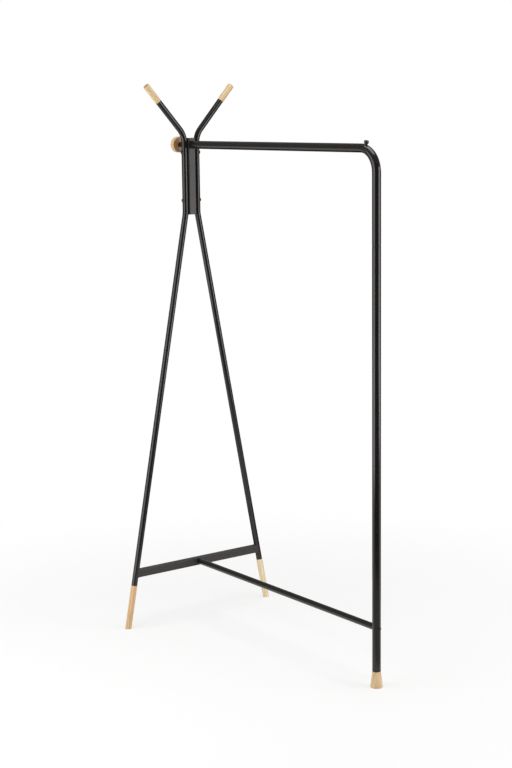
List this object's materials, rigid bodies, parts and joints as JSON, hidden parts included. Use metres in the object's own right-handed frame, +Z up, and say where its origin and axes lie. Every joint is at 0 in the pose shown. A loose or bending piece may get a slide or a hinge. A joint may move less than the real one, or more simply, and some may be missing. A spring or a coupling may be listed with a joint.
{
  "type": "valet stand",
  "caption": "Free-standing clothes stand: a bent-tube end frame with outward horns, a hanging rail that turns down into a post, a low stretcher, wooden ends and a round peg knob.",
  "frame": {"origin": "on the floor, on the stand's mirror plane, midway between the knob's outer face and the post foot's far edge", "axes": "+Z up, +X along the hanging rail from the end frame to the post, +Y across the stand"},
  "size_m": [0.993, 0.5724, 1.719],
  "materials": {
    "black_powder_coat": "satin",
    "pale_wood": "clear lacquer",
    "zinc_steel": "zinc plated"
  },
  "bodies": {
    "stand": {"left_side_tube": "black_powder_coat", "right_side_tube": "black_powder_coat", "head_channel": "black_powder_coat", "channel_screws": "black_powder_coat", "crossbar": "black_powder_coat", "rail_tube": "black_powder_coat", "hanger_stop_stud": "black_powder_coat", "lower_post": "black_powder_coat", "stretcher_tube": "black_powder_coat", "stretcher_crossbar_bolt": "black_powder_coat", "stretcher_post_bolt": "black_powder_coat", "left_wood_foot": "pale_wood", "right_wood_foot": "pale_wood", "left_horn_tip": "pale_wood", "right_horn_tip": "pale_wood", "cone_foot": "pale_wood", "channel_nuts": "zinc_steel", "rail_end_plug": "zinc_steel", "post_joiner": "zinc_steel", "post_foot_plug": "zinc_steel", "foot_bolt": "zinc_steel", "stretcher_front_plug": "zinc_steel", "stretcher_post_plug": "zinc_steel"},
    "peg_stem": {"peg_stem": "black_powder_coat"},
    "knob": {"knob": "pale_wood", "knob_insert": "zinc_steel"}
  },
  "joints": [
    {"name": "peg_travel", "type": "slide", "parent": "stand", "child": "peg_stem", "axis": [-1, 0, 0], "range_m": [0, 0.01]},
    {"name": "knob_turn", "type": "hinge", "parent": "peg_stem", "child": "knob", "pos_m": [-0.4765, 0, 1.53], "axis": [-1, 0, 0], "range_deg": [0, 2880]}
  ],
  "couplings": [
    {"joint": "knob_turn", "follows": "peg_travel", "rad_per_m": 5026.5}
  ]
}
